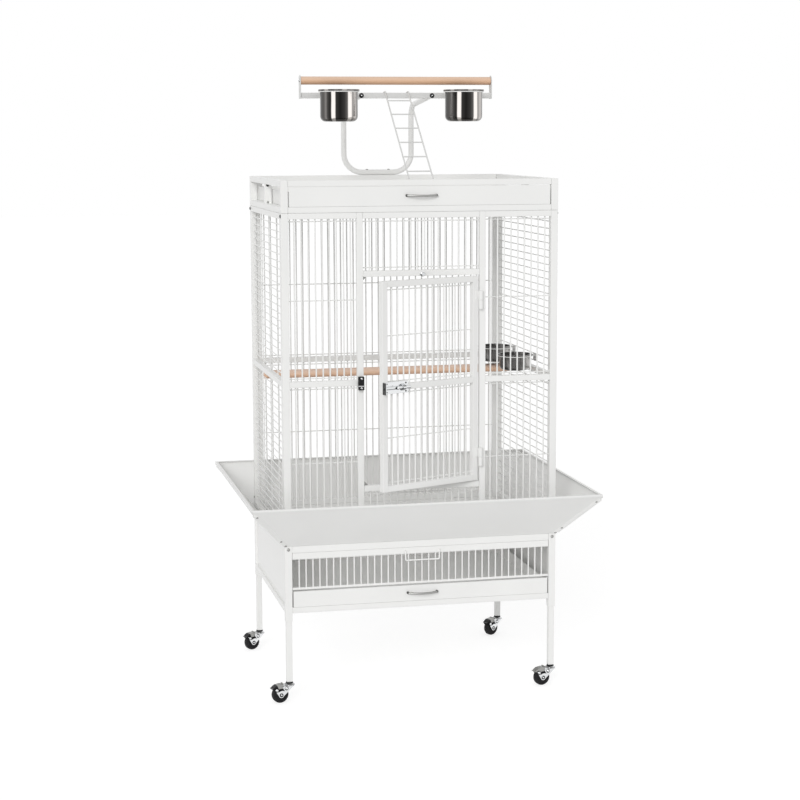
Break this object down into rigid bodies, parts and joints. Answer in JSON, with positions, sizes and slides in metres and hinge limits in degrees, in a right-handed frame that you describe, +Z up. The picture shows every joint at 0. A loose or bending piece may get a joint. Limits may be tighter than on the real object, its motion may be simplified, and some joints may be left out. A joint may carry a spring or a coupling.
{
  "type": "bird cage",
  "caption": "Tall barred parrot cage on a wheeled stand, with a swing door, seed skirts, slide-out trays and a play gym with perch, ladder and cups on its roof.",
  "frame": {"origin": "on the floor, at the middle of the outer box of the whole object with its door 23 degrees open", "axes": "+X to the cage's right as seen from the front, +Y from the front to the back, +Z up"},
  "size_m": [0.968, 0.8226, 1.6992],
  "materials": {
    "white_enamel": "off-white powder coat, slightly glossy",
    "chrome": "bright plated steel",
    "stainless": "polished stainless steel",
    "wood": "bare turned hardwood",
    "black_rubber": "moulded wheel",
    "black_plastic": "moulded"
  },
  "bodies": {
    "cage": {"stand_left_end": "white_enamel", "stand_right_end": "white_enamel", "stand_back_panel": "white_enamel", "stand_front_top_rail": "white_enamel", "stand_front_bottom_rail": "white_enamel", "leg_front_left": "white_enamel", "leg_front_right": "white_enamel", "leg_rear_left": "white_enamel", "leg_rear_right": "white_enamel", "skirt_front": "white_enamel", "skirt_right": "white_enamel", "skirt_back": "white_enamel", "skirt_left": "white_enamel", "left_wall": "white_enamel", "right_wall": "white_enamel", "back_wall": "white_enamel", "front_left_panel": "white_enamel", "front_right_panel": "white_enamel", "front_header_panel": "white_enamel", "front_sill_panel": "white_enamel", "roof_grille": "white_enamel", "top_box_left_end": "white_enamel", "top_box_right_end": "white_enamel", "top_box_back": "white_enamel", "top_box_front_upper_rail": "white_enamel", "top_box_front_lower_rail": "white_enamel", "gym_tube": "white_enamel", "gym_crossbar": "white_enamel", "gym_cup_ring_left": "white_enamel", "gym_cup_ring_right": "white_enamel", "inner_cup_ring_front": "white_enamel", "inner_cup_ring_rear": "white_enamel", "gym_perch": "wood", "inner_perch": "wood", "latch_keeper": "black_plastic"},
    "door": {"main_door": "white_enamel", "latch_plate": "chrome"},
    "bolt": {"latch_bolt": "chrome"},
    "grate": {"floor_grate": "white_enamel"},
    "lower_drawer": {"lower_tray": "white_enamel", "lower_tray_handle": "chrome"},
    "top_drawer": {"top_tray": "white_enamel", "top_tray_handle": "chrome"},
    "ladder": {"gym_ladder": "white_enamel"},
    "gym_cup_l": {"gym_cup_left": "stainless"},
    "gym_cup_r": {"gym_cup_right": "stainless"},
    "inner_cup_f": {"inner_cup_front": "stainless"},
    "inner_cup_b": {"inner_cup_rear": "stainless"},
    "swivel_front_left": {"caster_fork_front_left": "chrome"},
    "wheel_front_left": {"caster_wheel_front_left": "black_rubber"},
    "brake_front_left": {"caster_brake_front_left": "chrome"},
    "swivel_front_right": {"caster_fork_front_right": "chrome"},
    "wheel_front_right": {"caster_wheel_front_right": "black_rubber"},
    "brake_front_right": {"caster_brake_front_right": "chrome"},
    "swivel_rear_left": {"caster_fork_rear_left": "chrome"},
    "wheel_rear_left": {"caster_wheel_rear_left": "black_rubber"},
    "brake_rear_left": {"caster_brake_rear_left": "chrome"},
    "swivel_rear_right": {"caster_fork_rear_right": "chrome"},
    "wheel_rear_right": {"caster_wheel_rear_right": "black_rubber"},
    "brake_rear_right": {"caster_brake_rear_right": "chrome"}
  },
  "joints": [
    {"name": "door_hinge", "type": "hinge", "parent": "cage", "child": "door", "pos_m": [0.163, -0.27623, 0.8717], "axis": [0, 0, 1], "range_deg": [-23, 147]},
    {"name": "latch_slide", "type": "slide", "parent": "door", "child": "bolt", "axis": [-0.9205, -0.3907, 0], "range_m": [0, 0.014]},
    {"name": "grate_slide", "type": "slide", "parent": "cage", "child": "grate", "axis": [0, -1, 0], "range_m": [0, 0.45]},
    {"name": "lower_tray_slide", "type": "slide", "parent": "cage", "child": "lower_drawer", "axis": [0, -1, 0], "range_m": [0, 0.45]},
    {"name": "top_tray_slide", "type": "slide", "parent": "cage", "child": "top_drawer", "axis": [0, -1, 0], "range_m": [0, 0.45]},
    {"name": "ladder_lift", "type": "slide", "parent": "cage", "child": "ladder", "axis": [0, 0, 1], "range_m": [0, 0.015]},
    {"name": "gym_cup_left_lift", "type": "slide", "parent": "cage", "child": "gym_cup_l", "axis": [0, 0, 1], "range_m": [0, 0.095]},
    {"name": "gym_cup_right_lift", "type": "slide", "parent": "cage", "child": "gym_cup_r", "axis": [0, 0, 1], "range_m": [0, 0.095]},
    {"name": "inner_cup_front_lift", "type": "slide", "parent": "cage", "child": "inner_cup_f", "axis": [0, 0, 1], "range_m": [0, 0.055]},
    {"name": "inner_cup_rear_lift", "type": "slide", "parent": "cage", "child": "inner_cup_b", "axis": [0, 0, 1], "range_m": [0, 0.055]},
    {"name": "swivel_front_left_turn", "type": "hinge", "parent": "cage", "child": "swivel_front_left", "pos_m": [-0.3715, -0.26023, 0.052], "axis": [0, 0, 1], "continuous": true},
    {"name": "wheel_front_left_roll", "type": "hinge", "parent": "swivel_front_left", "child": "wheel_front_left", "pos_m": [-0.39889, -0.26606, 0.02311], "axis": [-0.2079, 0.9781, 0], "continuous": true},
    {"name": "brake_front_left_press", "type": "hinge", "parent": "swivel_front_left", "child": "brake_front_left", "pos_m": [-0.39106, -0.26439, 0.0519], "axis": [0.2079, -0.9781, 0], "range_deg": [0, 2.5]},
    {"name": "swivel_front_right_turn", "type": "hinge", "parent": "cage", "child": "swivel_front_right", "pos_m": [0.3715, -0.26023, 0.052], "axis": [0, 0, 1], "continuous": true},
    {"name": "wheel_front_right_roll", "type": "hinge", "parent": "swivel_front_right", "child": "wheel_front_right", "pos_m": [0.34411, -0.26606, 0.02311], "axis": [-0.2079, 0.9781, 0], "continuous": true},
    {"name": "brake_front_right_press", "type": "hinge", "parent": "swivel_front_right", "child": "brake_front_right", "pos_m": [0.35194, -0.26439, 0.0519], "axis": [0.2079, -0.9781, 0], "range_deg": [0, 2.5]},
    {"name": "swivel_rear_left_turn", "type": "hinge", "parent": "cage", "child": "swivel_rear_left", "pos_m": [-0.3715, 0.29877, 0.052], "axis": [0, 0, 1], "continuous": true},
    {"name": "wheel_rear_left_roll", "type": "hinge", "parent": "swivel_rear_left", "child": "wheel_rear_left", "pos_m": [-0.39708, 0.28738, 0.02311], "axis": [-0.4067, 0.9135, 0], "continuous": true},
    {"name": "brake_rear_left_press", "type": "hinge", "parent": "swivel_rear_left", "child": "brake_rear_left", "pos_m": [-0.38977, 0.29063, 0.0519], "axis": [0.4067, -0.9135, 0], "range_deg": [0, 2.5]},
    {"name": "swivel_rear_right_turn", "type": "hinge", "parent": "cage", "child": "swivel_rear_right", "pos_m": [0.3715, 0.29877, 0.052], "axis": [0, 0, 1], "continuous": true},
    {"name": "wheel_rear_right_roll", "type": "hinge", "parent": "swivel_rear_right", "child": "wheel_rear_right", "pos_m": [0.34725, 0.28477, 0.02311], "axis": [-0.5, 0.866, 0], "continuous": true},
    {"name": "brake_rear_right_press", "type": "hinge", "parent": "swivel_rear_right", "child": "brake_rear_right", "pos_m": [0.35418, 0.28877, 0.0519], "axis": [0.5, -0.866, 0], "range_deg": [0, 2.5]}
  ]
}
